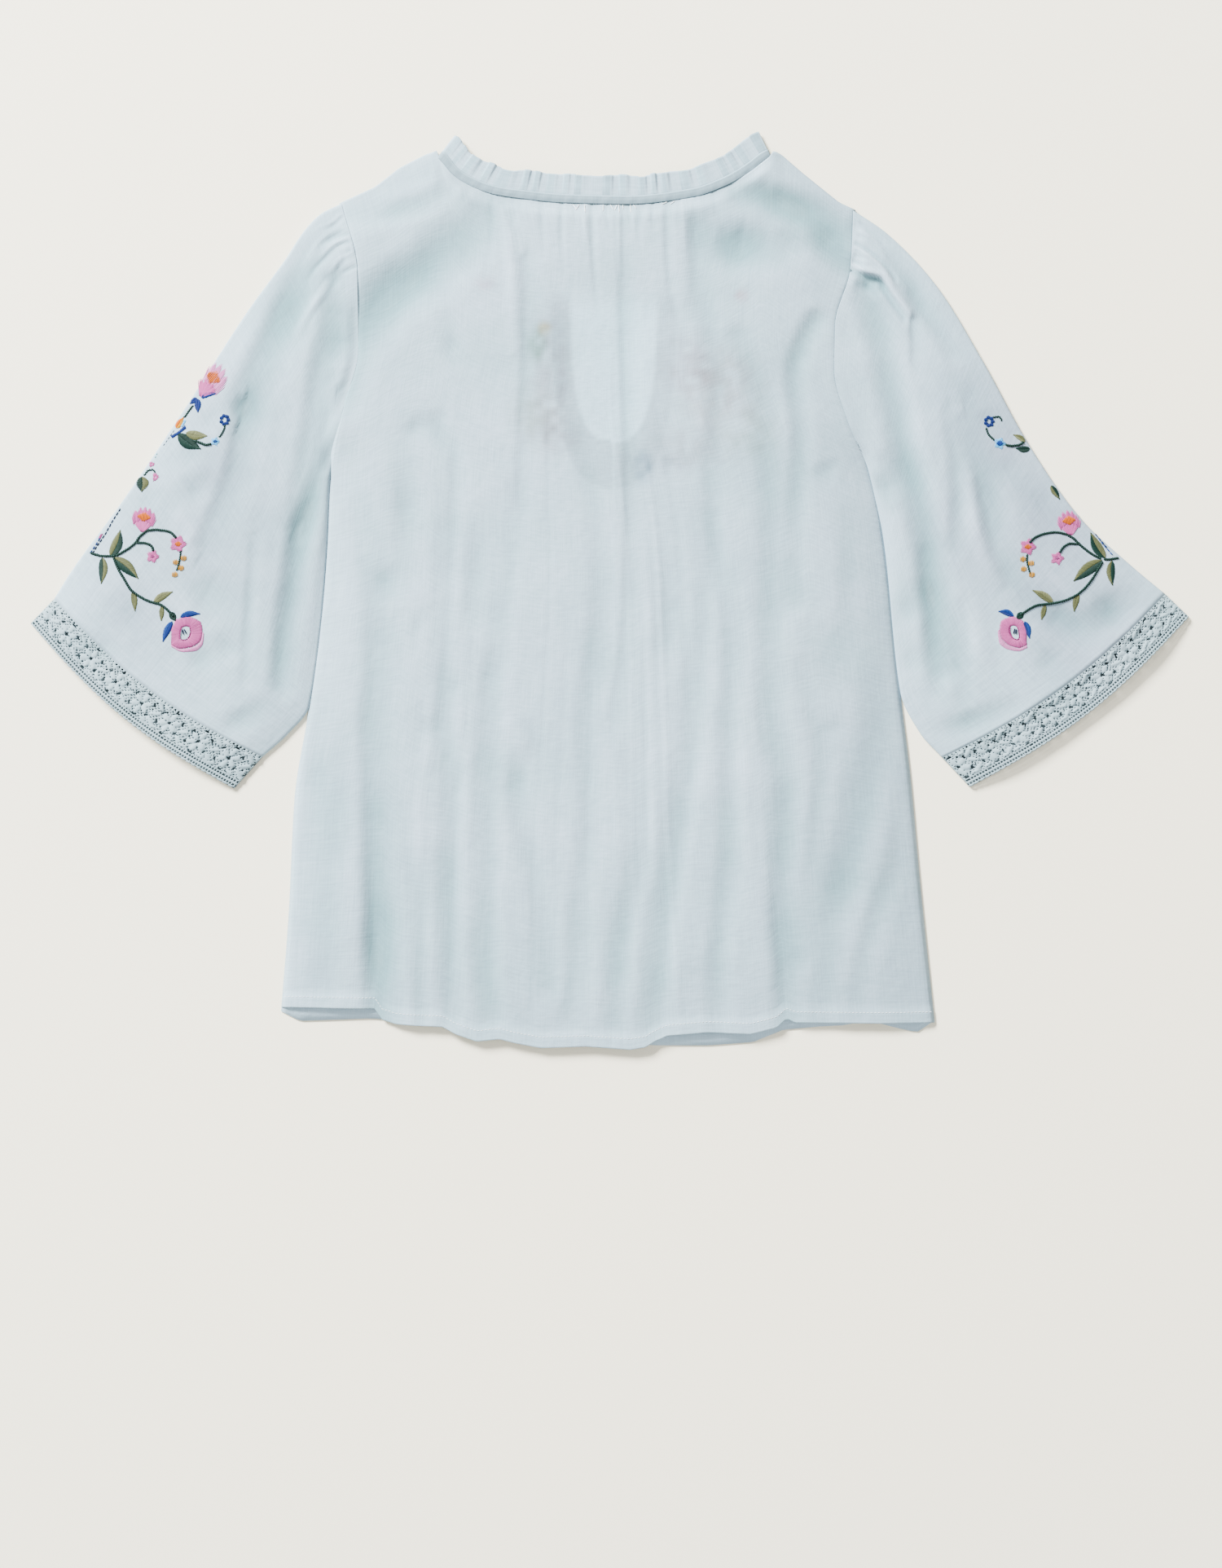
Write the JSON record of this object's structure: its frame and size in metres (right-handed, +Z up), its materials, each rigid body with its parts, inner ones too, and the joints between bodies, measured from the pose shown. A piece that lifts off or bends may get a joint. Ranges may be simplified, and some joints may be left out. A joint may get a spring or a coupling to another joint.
{
  "type": "embroidered top",
  "caption": "Loose gathered top with a ruffled neck, wide elbow-length sleeves, embroidered outer sleeves and lace cuffs, laid flat with its back up.",
  "frame": {"origin": "on the surface that the garment lies on, below the middle of its bounding box", "axes": "+X to the viewer's right across the sleeves, +Y towards the neck, +Z up from the surface"},
  "size_m": [0.8816, 0.6986, 0.0084],
  "materials": {
    "voile": "matte",
    "lace": "matte"
  },
  "bodies": {
    "root": {"back": "voile", "front": "voile", "notch_facing": "voile", "sleeve_left": "voile", "sleeve_right": "voile", "cuff_lace_left": "lace", "cuff_lace_right": "lace", "neck_binding": "voile", "neck_ruffle": "voile"}
  },
  "joints": []
}
